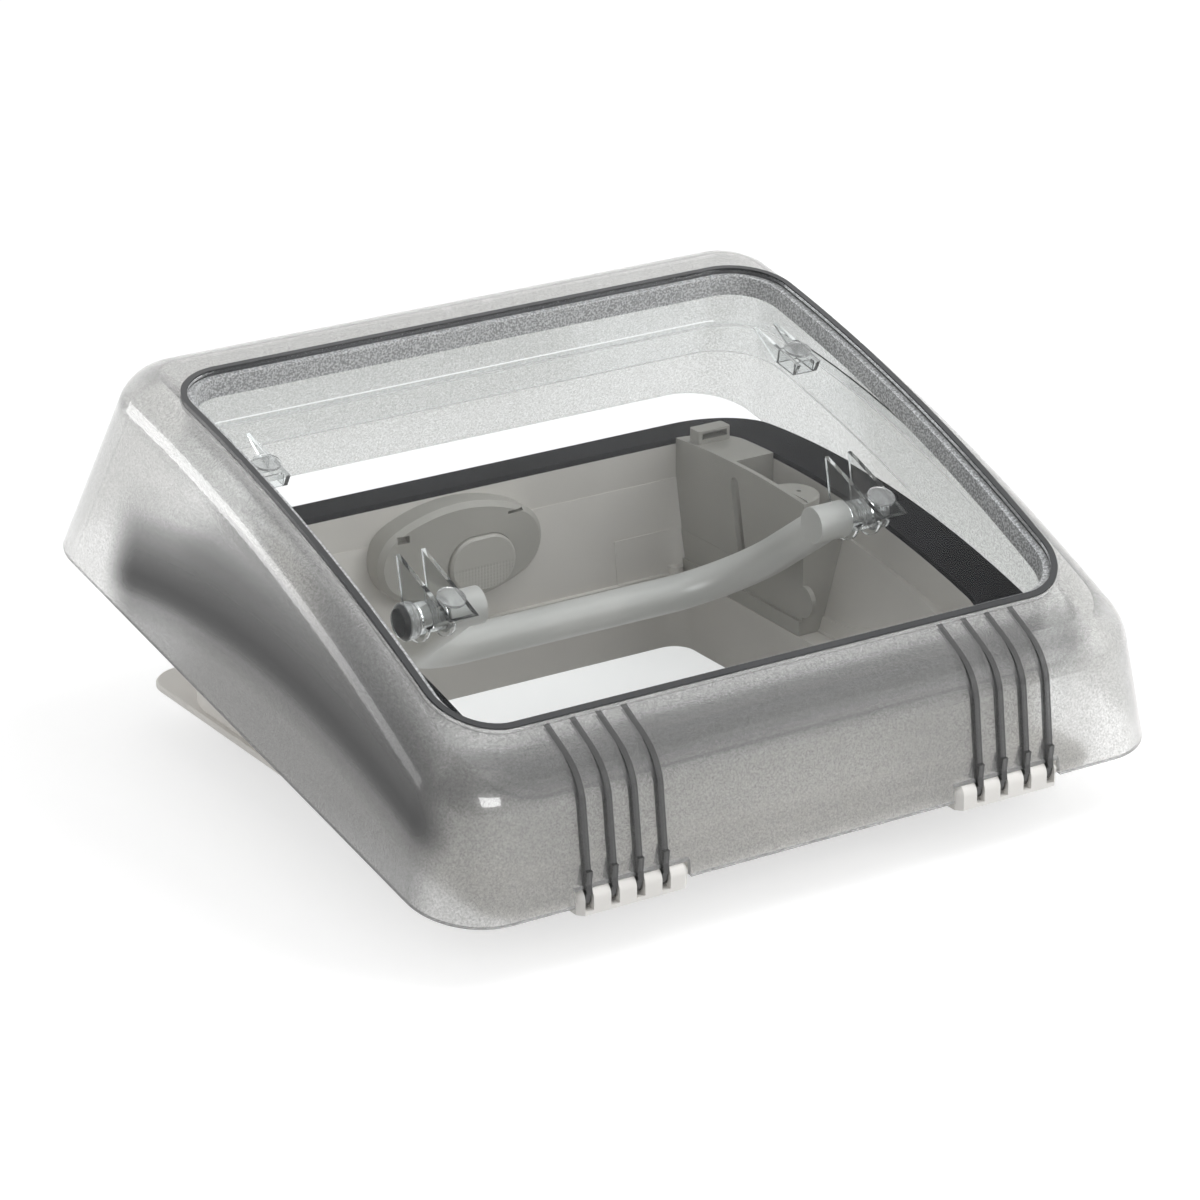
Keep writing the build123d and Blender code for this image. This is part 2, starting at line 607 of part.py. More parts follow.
def make_housing_cap():
    """Half-moon cap on a rounded post against the housing wall."""
    face_x = HOUSING_X + HOUSING_WALL
    half = block(face_x, face_x + 2 * CAP_R, CAP_Y - 2 * CAP_R, CAP_Y + 2 * CAP_R, 0, OVER_CURB_Z)
    top = seal_height(CAP_Y)
    cap = Pos(face_x, CAP_Y, top - CAP_THICK / 2) * Cylinder(CAP_R, CAP_THICK)
    post_length = top - CAP_THICK - CAP_POST_Z
    post = Pos(face_x, CAP_Y, CAP_POST_Z + post_length / 2) * Cylinder(CAP_POST_R, post_length)
    cap = chamfer(cap.faces().sort_by(Axis.Z)[-1].edges(), CAP_BEVEL)
    bore = Pos(face_x + CAP_POST_R / 2, CAP_Y, top) * Cylinder(SCREW_R, 2 * CAP_BORE)
    return ((cap + post) & half) - bore


def make_corner_lug():
    """Small striker block standing on the housing's rear shelf."""
    middle = HOUSING_X + LUG_WIDTH / 2 + LUG_INSET
    floor = seal_height(LUG_Y - LUG_LENGTH / 2) + BOND_GAP
    lug = block(middle - LUG_WIDTH / 2, middle + LUG_WIDTH / 2,
                LUG_Y - LUG_LENGTH / 2, LUG_Y + LUG_LENGTH / 2, floor, floor + LUG_HEIGHT)
    lug = fillet(lug.edges().filter_by(Axis.Z), LUG_CORNER)
    wall = LUG_RECESS
    pocket = block(middle - LUG_WIDTH / 2 + wall, middle + LUG_WIDTH / 2 - wall,
                   LUG_Y - LUG_LENGTH / 2 - OVERCUT, LUG_Y + LUG_LENGTH / 2 - wall,
                   floor + wall, floor + LUG_HEIGHT - wall / 2)
    return lug - pocket


# ---- push-button catch on the rear wall of the well ----------------------------------------
def catch_plane(x, y, z):
    """Upright plane facing the middle of the well."""
    return Plane(origin=(x, y, z), x_dir=(1, 0, 0), z_dir=(0, 1, 0))


def button_prism(grow, y0, y1):
    """Stadium-shaped prism of the button, grown all round, from y0 to y1."""
    outline = RectangleRounded(BUTTON_WIDTH + 2 * grow, BUTTON_HEIGHT + 2 * grow,
                               BUTTON_HEIGHT / 2 + grow - BUTTON_FLAT)
    return extrude(catch_plane(BUTTON_X, y0, BUTTON_Z) * outline, y1 - y0)


def oval(width, height, end_r):
    """Four-arc oval: two end arcs of radius end_r and two flatter arcs between them."""
    end_x = width / 2 - end_r
    rise = height / 2
    flat_r = (end_x ** 2 + rise ** 2 - end_r ** 2) / (2 * (rise - end_r))
    reach = math.hypot(end_x, flat_r - rise)
    tip_x = end_x + end_r * end_x / reach
    tip_y = end_r * (flat_r - rise) / reach
    edges = Curve()
    for side in (-1, 1):
        edges += ThreePointArc((-tip_x, side * tip_y), (0, side * rise), (tip_x, side * tip_y))
        edges += ThreePointArc((side * tip_x, tip_y), (side * width / 2, 0),
                               (side * tip_x, -tip_y))
    return make_face(edges)


def make_escutcheon():
    """Oval cover, hollow behind the button and cut to the slope of the wall."""
    start = catch_plane(CATCH_X, CATCH_FACE_Y, CATCH_Z)
    body = extrude(start * oval(CATCH_WIDTH, CATCH_HEIGHT, CATCH_END_R), CATCH_DEPTH)
    body = chamfer(body.faces().sort_by(Axis.Y)[0].edges(), CATCH_BEVEL)
    body &= well_void(-FIT_GAP)
    for x, z, width, height in NOTCHES:
        body -= block(x - width / 2, x + width / 2, CATCH_FACE_Y - OVERCUT,
                      CATCH_FACE_Y + NOTCH_DEPTH, z - height / 2, z + height / 2)
    body -= button_prism(BUTTON_GAP, CATCH_FACE_Y - OVERCUT, CATCH_FACE_Y + CATCH_DEPTH)
    return body - button_prism(BUTTON_RIM + BUTTON_GAP, CATCH_FACE_Y + CATCH_LIP,
                               CATCH_FACE_Y + CATCH_DEPTH)


def make_button():
    """Oval button with a retaining rim behind the cover's lip."""
    rim_y = CATCH_FACE_Y + CATCH_LIP + FIT_GAP
    head = button_prism(0.0, CATCH_FACE_Y - BUTTON_PROUD, rim_y + BUTTON_RIM_THICK)
    head = chamfer(head.faces().sort_by(Axis.Y)[0].edges(), BUTTON_BEVEL)
    return head + button_prism(BUTTON_RIM, rim_y, rim_y + BUTTON_RIM_THICK)


def make_spring():
    """Return spring between the button and the wall, drawn as a sleeve."""
    y0 = CATCH_FACE_Y + CATCH_LIP + BUTTON_RIM_THICK + 2 * FIT_GAP
    place = catch_plane(BUTTON_X, y0, BUTTON_Z)
    ring = Circle(SPRING_R) - Circle(SPRING_R - SPRING_WALL)
    return extrude(place * ring, CATCH_DEPTH) & well_void(-FIT_GAP)


def make_hinge_block():
    """Castellated bearing strip with a rounded top round the pin."""
    x0 = BLOCK_X_IN
    x1 = BLOCK_X_OUT
    strip = block(x0, x1, HINGE_Y - KNUCKLE_R, -FLANGE_HALF_Y, 0, HINGE_Z)
    strip += roller(KNUCKLE_R, x0, x1, HINGE_Y, HINGE_Z)
    strip = chamfer(strip.edges().filter_by(Axis.Z).group_by(Axis.Y)[0], BLOCK_CORNER)
    for x in RIB_X:
        gap = RIB_WIDTH / 2 + RIB_SIDE_GAP
        strip -= block(x - gap, x + gap, HINGE_Y - KNUCKLE_R - OVERCUT, OVERCUT - FLANGE_HALF_Y,
                       BLOCK_FLOOR, HINGE_Z + KNUCKLE_R + OVERCUT)
    return strip - roller(HINGE_PIN_R, x0 + PIN_END, x1 - PIN_END, HINGE_Y, HINGE_Z)


def make_hinge_pin():
    return roller(HINGE_PIN_R, BLOCK_X_IN + PIN_END, BLOCK_X_OUT - PIN_END, HINGE_Y, HINGE_Z)


lid = {"lid_shell": make_lid_shell(), "window_bead": make_window_bead(),
       "outer_pane": make_outer_pane(), "pane_spacer": make_spacer(),
       "inner_pane": make_inner_pane()}
near = make_near_bracket()
far = make_far_bracket()
near_pad = make_pad(sum(NEAR_CHEEK_X) / 2, NEAR_PAD_Y)
far_pad = make_pad(sum(FAR_CHEEK_X) / 2, FAR_PAD_Y)
pin = make_bow_pin()
knob = make_bow_knob()
block_right = make_hinge_block()
pin_right = make_hinge_pin()
lid["near_bracket_right"] = near
lid["near_bracket_left"] = mirrored(near)
lid["far_bracket_right"] = far
lid["far_bracket_left"] = mirrored(far)
lid["near_pad_right"] = near_pad
lid["near_pad_left"] = mirrored(near_pad)
lid["far_pad_right"] = far_pad
lid["far_pad_left"] = mirrored(far_pad)
lid["bow_tube"] = make_bow_tube()
lid["bow_pin_right"] = pin
lid["bow_pin_left"] = mirrored(pin)
lid["bow_knob_right"] = knob
lid["bow_knob_left"] = mirrored(knob)
for name, part in lid.items():
    save(vent(part), name)

base = {"base_frame": make_base_frame(), "curb_seal": make_seal(),
        "side_housing": make_housing(), "housing_cap": make_housing_cap(),
        "corner_lug": make_corner_lug(), "catch_cover": make_escutcheon(),
        "catch_button": make_button(), "catch_spring": make_spring()}
for name, part in base.items():
    save(part, name)
save(block_right, "hinge_block_right")
save(mirrored(block_right), "hinge_block_left")
save(pin_right, "hinge_pin_right")
save(mirrored(pin_right), "hinge_pin_left")
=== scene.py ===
import math

import bmesh
import bpy
from mathutils import Matrix, Vector


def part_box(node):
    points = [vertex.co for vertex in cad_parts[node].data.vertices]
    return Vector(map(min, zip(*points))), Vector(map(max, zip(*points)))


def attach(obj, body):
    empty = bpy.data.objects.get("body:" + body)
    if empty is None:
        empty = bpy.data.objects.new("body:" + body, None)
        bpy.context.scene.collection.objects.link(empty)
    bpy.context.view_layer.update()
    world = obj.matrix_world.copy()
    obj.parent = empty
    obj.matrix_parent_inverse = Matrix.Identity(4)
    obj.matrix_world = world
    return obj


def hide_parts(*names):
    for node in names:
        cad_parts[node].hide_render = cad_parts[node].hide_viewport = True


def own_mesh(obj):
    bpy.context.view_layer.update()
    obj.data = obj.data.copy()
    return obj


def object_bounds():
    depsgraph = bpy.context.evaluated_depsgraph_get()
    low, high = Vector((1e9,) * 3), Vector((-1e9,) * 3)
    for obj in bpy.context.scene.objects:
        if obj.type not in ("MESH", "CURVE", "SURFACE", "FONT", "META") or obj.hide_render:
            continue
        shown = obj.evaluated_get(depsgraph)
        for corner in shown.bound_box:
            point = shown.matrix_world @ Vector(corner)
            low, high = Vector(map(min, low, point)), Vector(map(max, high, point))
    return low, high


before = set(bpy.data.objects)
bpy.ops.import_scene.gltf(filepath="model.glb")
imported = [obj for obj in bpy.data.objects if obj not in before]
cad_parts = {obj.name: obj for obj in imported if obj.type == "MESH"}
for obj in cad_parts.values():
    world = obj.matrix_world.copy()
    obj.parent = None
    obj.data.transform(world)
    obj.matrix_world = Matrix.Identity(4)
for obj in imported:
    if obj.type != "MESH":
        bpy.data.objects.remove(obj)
cad_box = [list(corner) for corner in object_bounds()]

# ---- Base frame -------------------------------------------------------------------------
# One warm white ABS moulding: flange, hollow curb, well and throat collar.
# The tool's spark-eroded face leaves a fine matte grain on every wall. The grain is
# drawn coarser than the real one, so that it shows.
MM = 1000
FRAME_WHITE = "#DEDBD6"
FRAME_SHADE = "#D8D5D0"
FRAME_ROUGHNESS = 0.5
TONE_DRIFT_MM = 60.0
TONE_DETAIL = 3.0
TONE_STOPS = (0.35, 0.65)
MOULD_GRAIN_MM = 0.45
MOULD_RELIEF = 0.06
GRAIN_DETAIL = 2.0
GRAIN_DEPTH = 0.0001
ABS_IOR = 1.5


def linear(colour):
    """Turns an sRGB hex colour to the linear values that shaders take."""
    parts = [int(colour[k:k + 2], 16) / 255 for k in (1, 3, 5)]
    return [c / 12.92 if c <= 0.04045 else ((c + 0.055) / 1.055) ** 2.4 for c in parts] + [1.0]


def add(tree, kind, settings, links=()):
    """Adds a shader node with its settings, and feeds its sockets from others."""
    made = tree.nodes.new("ShaderNode" + kind)
    for key, value in settings.items():
        if isinstance(key, str) and key in made.bl_rna.properties:
            setattr(made, key, value)
        else:
            made.inputs[key].default_value = value
    for socket, source in links:
        tree.links.new(source, made.inputs[socket])
    return made


def new_finish(name):
    """An empty material, its nodes, and its object coordinates in millimetres."""
    finish = bpy.data.materials.new(name)
    finish.use_nodes = True
    nodes = finish.node_tree
    nodes.nodes.clear()
    coords = add(nodes, "TexCoord", {})
    scaled = add(nodes, "Mapping", {"Scale": (MM, MM, MM)},
                 [("Vector", coords.outputs["Object"])])
    return finish, nodes, scaled.outputs["Vector"]


def mottle(tree, place, size_mm, detail, tones, stops):
    """A grain of a given size, and its blend from one tone to another."""
    noise = add(tree, "TexNoise", {"Scale": 1 / size_mm, "Detail": detail}, [("Vector", place)])
    blend = add(tree, "ValToRGB", {}, [("Fac", noise.outputs["Fac"])])
    for element, tone, stop in zip(blend.color_ramp.elements, tones, stops):
        element.position = stop
        element.color = linear(tone)
    return noise.outputs["Fac"], blend.outputs["Color"]


def moulded_plastic(name, colour, shade, grain_mm, roughness, bump, ior=ABS_IOR):
    """Opaque moulded plastic: two close tones and a fine eroded grain."""
    finish, tree, place = new_finish(name)
    tone = mottle(tree, place, TONE_DRIFT_MM, TONE_DETAIL, (shade, colour), TONE_STOPS)[1]
    grain = add(tree, "TexNoise", {"Scale": 1 / grain_mm, "Detail": GRAIN_DETAIL},
                [("Vector", place)])
    relief = add(tree, "Bump", {"Strength": bump, "Distance": GRAIN_DEPTH},
                 [("Height", grain.outputs["Fac"])])
    surface = add(tree, "BsdfPrincipled", {"Roughness": roughness, "IOR": ior},
                  [("Base Color", tone), ("Normal", relief.outputs["Normal"])])
    add(tree, "OutputMaterial", {}, [("Surface", surface.outputs["BSDF"])])
    return finish


def wear(finish, *names):
    """Gives the frame's own nodes a finish."""
    for name in names:
        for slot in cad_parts[name].material_slots:
            slot.material = finish


wear(moulded_plastic("moulded_abs_warm_white", FRAME_WHITE, FRAME_SHADE, MOULD_GRAIN_MM,
                     FRAME_ROUGHNESS, MOULD_RELIEF), "base_frame")

# ---- Hinge blocks -----------------------------------------------------------------------
# Two knuckle strips that carry the hinge pins between their teeth, glued to the front of
# the flange. They are the frame's ABS, set whiter as painted light for faces the lid shades.
# Painted light: these tones are whiter than the frame's own.
BLOCK_PAINTED_LIGHT_WHITE = "#F1EFEB"
BLOCK_PAINTED_LIGHT_TONE = "#EBE9E5"
BLOCK_ROUGHNESS = 0.45
wear(moulded_plastic("moulded_abs_painted_light_white", BLOCK_PAINTED_LIGHT_WHITE, BLOCK_PAINTED_LIGHT_TONE, MOULD_GRAIN_MM,
                     BLOCK_ROUGHNESS, MOULD_RELIEF), "hinge_block_right", "hinge_block_left")

# ---- Trim in the well -------------------------------------------------------------------
# The side housing, its half-moon cap, the slotted lug and the catch's cover.
# They are separate light grey ABS mouldings, clipped into the well.
TRIM_GREY = "#B4B2AC"
TRIM_SHADE = "#AAA8A2"
TRIM_ROUGHNESS = 0.48
wear(moulded_plastic("moulded_abs_grey", TRIM_GREY, TRIM_SHADE, MOULD_GRAIN_MM,
                     TRIM_ROUGHNESS, MOULD_RELIEF),
     "side_housing", "housing_cap", "corner_lug", "catch_cover")

# ---- Catch button -----------------------------------------------------------------------
# The push button of the catch, in the same grey ABS and free to slide in its cover.
# Its lower half is moulded with a field of small pips that give the thumb a grip.
BUTTON_GREY = "#BAB8B2"
BUTTON_ROUGHNESS = 0.45
PIP_PITCH_MM = 2.4
PIP_DEPTH = 0.0006
PIP_RELIEF = 0.9
PIPS_BELOW_MIDDLE_MM = 0.5
PIPS_EDGE_MM = 1.0
button_low, button_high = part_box("catch_button")
pips_top = MM * (button_low[2] + button_high[2]) / 2 - PIPS_BELOW_MIDDLE_MM
pip_finish, tree, place = new_finish("moulded_abs_pips")
pips = add(tree, "TexVoronoi", {"Scale": 1 / PIP_PITCH_MM, "Randomness": 0.0},
           [("Vector", place)])
where = add(tree, "SeparateXYZ", {}, [("Vector", place)])
low_half = add(tree, "MapRange", {"From Min": pips_top, "From Max": pips_top - PIPS_EDGE_MM},
               [("Value", where.outputs["Z"])])
height = add(tree, "Math", {"operation": "MULTIPLY"},
             [(0, pips.outputs["Distance"]), (1, low_half.outputs["Result"])])
relief = add(tree, "Bump", {"Strength": PIP_RELIEF, "Distance": PIP_DEPTH, "invert": True},
             [("Height", height.outputs["Value"])])
button = add(tree, "BsdfPrincipled",
             {"Base Color": linear(BUTTON_GREY), "Roughness": BUTTON_ROUGHNESS},
             [("Normal", relief.outputs["Normal"])])
add(tree, "OutputMaterial", {}, [("Surface", button.outputs["BSDF"])])
wear(pip_finish, "catch_button")

# ---- Seal -------------------------------------------------------------------------------
# A flat strip of closed-cell EPDM, bonded round the top of the curb.
# Its cut cells make it near black, dull and a little dusty. They are drawn larger than
# the real ones, so that they show.
SEAL_BLACK = "#1E1E20"
SEAL_DUST = "#26262A"
SEAL_CELL_MM = 0.9
SEAL_ROUGHNESS = 0.9
SEAL_RELIEF = 0.4
SEAL_IOR = 1.2
wear(moulded_plastic("closed_cell_epdm", SEAL_DUST, SEAL_BLACK, SEAL_CELL_MM,
                     SEAL_ROUGHNESS, SEAL_RELIEF, SEAL_IOR), "curb_seal")

# ---- Hinge pins -------------------------------------------------------------------------
# Two plain rods of drawn steel, pressed through the teeth of the hinge blocks.
# Drawing leaves them grey and satin, a little uneven from handling.
PIN_GREY = "#9A9A9C"
DRAW_MM = 1.5
PIN_ROUGHNESS = (0.25, 0.45)
steel_finish, tree, place = new_finish("drawn_steel")
draw = add(tree, "TexNoise", {"Scale": 1 / DRAW_MM, "Detail": GRAIN_DETAIL},
           [("Vector", place)])
rough = add(tree, "MapRange", {"To Min": PIN_ROUGHNESS[0], "To Max": PIN_ROUGHNESS[1]},
            [("Value", draw.outputs["Fac"])])
steel = add(tree, "BsdfPrincipled", {"Base Color": linear(PIN_GREY), "Metallic": 1.0},
            [("Roughness", rough.outputs["Result"])])
add(tree, "OutputMaterial", {}, [("Surface", steel.outputs["BSDF"])])
wear(steel_finish, "hinge_pin_right", "hinge_pin_left")

# ---- Catch spring -----------------------------------------------------------------------
# A short open coil of drawn steel wire that pushes the button out. Its far end stands on
# the rear wall. The coil is built at rest, fixed to the base, and does not close up.
WIRE_R = 0.00055
WIRE_SIDES = 10
COIL_R = 0.0070
COIL_LENGTH = 0.0079
COIL_TURNS = 3.5
COIL_START_GAP = 0.0002
STEPS_A_TURN = 24
spring_low, spring_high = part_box("catch_spring")
coil_x = (spring_low[0] + spring_high[0]) / 2
coil_z = (spring_low[2] + spring_high[2]) / 2
first_y = spring_low[1] + WIRE_R + COIL_START_GAP
rise = COIL_LENGTH - 2 * WIRE_R
steps = int(COIL_TURNS * STEPS_A_TURN)
coil = bmesh.new()
bmesh.ops.create_circle(coil, segments=WIRE_SIDES, radius=WIRE_R,
                        matrix=Matrix.Translation((coil_x + COIL_R, first_y, coil_z)))
bmesh.ops.spin(coil, geom=list(coil.verts) + list(coil.edges), cent=(coil_x, first_y, coil_z),
               axis=(0, 1, 0), dvec=(0, rise / steps, 0), angle=COIL_TURNS * 2 * math.pi,
               steps=steps)
bmesh.ops.holes_fill(coil, edges=[edge for edge in coil.edges if edge.is_boundary])
bmesh.ops.recalc_face_normals(coil, faces=coil.faces)
for face in coil.faces:
    face.smooth = True
coil_mesh = bpy.data.meshes.new("catch_spring_coil")
coil.to_mesh(coil_mesh)
coil.free()
spring = bpy.data.objects.new("catch_spring_coil", coil_mesh)
bpy.context.scene.collection.objects.link(spring)
coil_mesh.materials.append(steel_finish)
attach(spring, "base")
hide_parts("catch_spring")
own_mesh(spring)

# ---- Smoked lid shell -------------------------------------------------------------------
# One vacuum-formed smoked acrylic shell that turns on the hinge pins. It is polished
# outside and sand-grained inside, so it blurs what lies behind and sparkles finely.
# The grain is drawn coarser than the real one, so that it shows.
ACRYLIC_IOR = 1.49
SMOKE_LIGHT = "#FAFAF9"
SMOKE_DARK = "#CACAC8"
SMOKE_GRAIN_MM = 1.3
SMOKE_STOPS = (0.35, 0.62)
SMOKE_RELIEF = 0.3
SMOKE_DEPTH = 0.0002
SMOKE_ROUGHNESS = 0.26
SMOKE_CLARITY = 0.92
POLISH_ROUGHNESS = 0.07
SMOKE_LAMP_TINT = "#B0B0B0"
SMOKE_LAMP_SHARE = 0.6
lid_finish, tree, place = new_finish("smoked_acrylic")
speck, smoke = mottle(tree, place, SMOKE_GRAIN_MM, GRAIN_DETAIL, (SMOKE_DARK, SMOKE_LIGHT),
                      SMOKE_STOPS)
where = add(tree, "SeparateXYZ", {}, [("Vector", place)])

# The eight hinge ribs get painted shade, for how dark they read when seen edge on
# through more of the sheet.
RIB_PAINTED_SHADE = "#2E2F30"
RIBS_A_SIDE = 4
RIB_WIDTH_MM = 4.0
RIB_SPARE_MM = 0.1
RIB_PITCH_MM = 18.0
RIB_END_MM = 7.0
RIB_TO_BEAD_MM = 2.0
outer_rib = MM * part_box("hinge_block_right")[1][0] - RIB_END_MM
ribs_middle = outer_rib - (RIBS_A_SIDE - 1) / 2 * RIB_PITCH_MM
ribs_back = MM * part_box("window_bead")[0][1] - RIB_TO_BEAD_MM
side = add(tree, "Math", {"operation": "ABSOLUTE"}, [(0, where.outputs["X"])])
from_outer = add(tree, "Math", {"operation": "SUBTRACT", 1: outer_rib},
                 [(0, side.outputs["Value"])])
nearest = add(tree, "Math", {"operation": "PINGPONG", 1: RIB_PITCH_MM / 2},
              [(0, from_outer.outputs["Value"])])
in_rib = add(tree, "Math", {"operation": "LESS_THAN", 1: RIB_WIDTH_MM / 2 + RIB_SPARE_MM},
             [(0, nearest.outputs["Value"])])
from_middle = add(tree, "Math", {"operation": "SUBTRACT", 1: ribs_middle},
                  [(0, side.outputs["Value"])])
spread = add(tree, "Math", {"operation": "ABSOLUTE"}, [(0, from_middle.outputs["Value"])])
in_group = add(tree, "Math", {"operation": "LESS_THAN", 1: RIBS_A_SIDE / 2 * RIB_PITCH_MM},
               [(0, spread.outputs["Value"])])
in_front = add(tree, "Math", {"operation": "LESS_THAN", 1: ribs_back},
               [(0, where.outputs["Y"])])
grouped = add(tree, "Math", {"operation": "MULTIPLY"},
              [(0, in_rib.outputs["Value"]), (1, in_group.outputs["Value"])])
rib = add(tree, "Math", {"operation": "MULTIPLY"},
          [(0, grouped.outputs["Value"]), (1, in_front.outputs["Value"])])

# Painted shade on the shell: a soft dark arc along the left wall, and a narrow line
# along the bend above the front face. There a dark, dull, opaque skin is mixed in.
# Painted shade: colour and roughness of the dark skin that the bands mix in.
PAINTED_SHADE_GREY = "#404040"
PAINTED_SHADE_ROUGHNESS = 0.6
ARC_HEIGHT_MM = 111.0
ARC_SLOPE = 0.09
ARC_CURVE = -0.0007
ARC_REACH_MM = 104.0
ARC_RAMP = ((0.34, 0.34), (0.41, 0.50), (0.455, 0.92), (0.485, 1.0), (0.524, 0.83),
            (0.60, 0.55), (0.638, 0.42), (0.70, 0.14), (0.79, 0.0))
ARC_WALL_MM = (34, 14)
ARC_REAR_MM = (195, 150)
ARC_FRONT_MM = (-222, -185)
BEND_LOW_MM = 70.0
BEND_HIGH_MM = 103.0
BEND_RAMP = ((0.0, 0.08), (0.12, 0.14), (0.30, 0.30), (0.48, 0.42), (0.64, 0.33),
             (0.79, 0.23), (1.0, 0.0))
BEND_REAR_MM = (-184, -200)
BEND_RIGHT_MM = (222, 196)


def painted_shade_band(tree, where, height, low, high, ramp, edges):
    """Strength of a band of painted shade: read off a ramp by height, and soft at its edges."""
    reach = add(tree, "MapRange", {"From Min": low, "From Max": high}, [("Value", height)])
    shade_ramp = add(tree, "ValToRGB", {}, [("Fac", reach.outputs["Result"])])
    first, last = shade_ramp.color_ramp.elements
    first.position, last.position = ramp[0][0], ramp[-1][0]
    first.color = (ramp[0][1],) * 3 + (1,)
    last.color = (ramp[-1][1],) * 3 + (1,)
    for position, level in ramp[1:-1]:
        shade_ramp.color_ramp.elements.new(position).color = (level, level, level, 1)
    band_strength = shade_ramp.outputs["Color"]
    for axis, (start, end) in edges:
        soft = add(tree, "MapRange", {"interpolation_type": "SMOOTHSTEP", "From Min": start,
                                      "From Max": end}, [("Value", where.outputs[axis])])
        cut = add(tree, "Math", {"operation": "MULTIPLY"},
                  [(0, band_strength), (1, soft.outputs["Result"])])
        band_strength = cut.outputs["Value"]
    return band_strength


wall_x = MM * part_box("lid_shell")[0][0]
wall_edge = [wall_x + inward for inward in ARC_WALL_MM]
arc_line = add(tree, "Math", {"operation": "MULTIPLY_ADD", 1: ARC_CURVE, 2: ARC_SLOPE},
               [(0, where.outputs["Y"])])
arc_rise = add(tree, "Math", {"operation": "MULTIPLY"},
               [(0, arc_line.outputs["Value"]), (1, where.outputs["Y"])])
above_arc = add(tree, "Math", {"operation": "SUBTRACT"},
                [(0, where.outputs["Z"]), (1, arc_rise.outputs["Value"])])
arc = painted_shade_band(tree, where, above_arc.outputs["Value"], ARC_HEIGHT_MM - ARC_REACH_MM,
           ARC_HEIGHT_MM + ARC_REACH_MM, ARC_RAMP,
           (("X", wall_edge), ("Y", ARC_REAR_MM), ("Y", ARC_FRONT_MM)))
bend = painted_shade_band(tree, where, where.outputs["Z"], BEND_LOW_MM, BEND_HIGH_MM, BEND_RAMP,
            (("Y", BEND_REAR_MM), ("X", BEND_RIGHT_MM)))
painted_shade = add(tree, "Math", {"operation": "MAXIMUM"}, [(0, arc), (1, bend)])

# Two small round white discs are mixed into the colour, side by side behind the window.
MARK_WHITE = "#FFFFFF"
MARKS_MM = ((-7.0, 189.0), (25.0, 190.5))
MARK_R_MM = 4.5
MARK_EDGE_MM = 1.0
MARK_STRENGTH = 0.6
marked = smoke
for mark_x, mark_y in MARKS_MM:
    flat = add(tree, "Mapping", {"Location": (-mark_x, -mark_y, 0), "Scale": (1, 1, 0)},
               [("Vector", place)])
    away = add(tree, "VectorMath", {"operation": "LENGTH"}, [(0, flat.outputs["Vector"])])
    disc = add(tree, "MapRange", {"From Min": MARK_R_MM, "From Max": MARK_R_MM - MARK_EDGE_MM,
                                  "To Max": MARK_STRENGTH}, [("Value", away.outputs["Value"])])
    blend = add(tree, "MixRGB", {"Color2": linear(MARK_WHITE)},
                [("Fac", disc.outputs["Result"]), ("Color1", marked)])
    marked = blend.outputs["Color"]

# Painted shade: the ribs' colour is mixed to near black.
tone = add(tree, "MixRGB", {"Color2": linear(RIB_PAINTED_SHADE)},
           [("Fac", rib.outputs["Value"]), ("Color1", marked)])
relief = add(tree, "Bump", {"Strength": SMOKE_RELIEF, "Distance": SMOKE_DEPTH},
             [("Height", speck)])
skin = add(tree, "BsdfPrincipled",
           {"Roughness": SMOKE_ROUGHNESS, "IOR": ACRYLIC_IOR,
            "Transmission Weight": SMOKE_CLARITY, "Coat Weight": 1.0,
            "Coat Roughness": POLISH_ROUGHNESS},
           [("Base Color", tone.outputs["Color"]), ("Normal", relief.outputs["Normal"])])
# Painted shade: a dark, dull, opaque skin, mixed in along the arc and the bend.
painted_shade_skin = add(tree, "BsdfPrincipled",
                {"Base Color": linear(PAINTED_SHADE_GREY), "Roughness": PAINTED_SHADE_ROUGHNESS},
                [("Normal", relief.outputs["Normal"])])
skin_with_painted_shade = add(tree, "MixShader", {}, [(0, painted_shade.outputs["Value"]),
                                          (1, skin.outputs["BSDF"]),
                                          (2, painted_shade_skin.outputs["BSDF"])])
path = add(tree, "LightPath", {})
lamplit = add(tree, "BsdfTransparent", {"Color": linear(SMOKE_LAMP_TINT)})
share = add(tree, "Math", {"operation": "MULTIPLY", 1: SMOKE_LAMP_SHARE},
            [(0, path.outputs["Is Shadow Ray"])])
shell = add(tree, "MixShader", {}, [(0, share.outputs["Value"]),
                                    (1, skin_with_painted_shade.outputs["Shader"]),
                                    (2, lamplit.outputs["BSDF"])])
add(tree, "OutputMaterial", {}, [("Surface", shell.outputs["Shader"])])
wear(lid_finish, "lid_shell")

# ---- Panes ------------------------------------------------------------------------------
# The outer pane and the inner tray, of clear cast acrylic polished on both sides. The
# outer one is held by the bead, and the tray is bonded below it with its skirt down.
PANE_CLEAR = "#FAFBFB"
PANE_LIGHT_TINT = "#F5F5F5"
# A dim specular tint and a low IOR keep a white room's glare off the flat sheets.
PANE_SPECULAR = "#5A5A5A"
PANE_IOR = 1.15


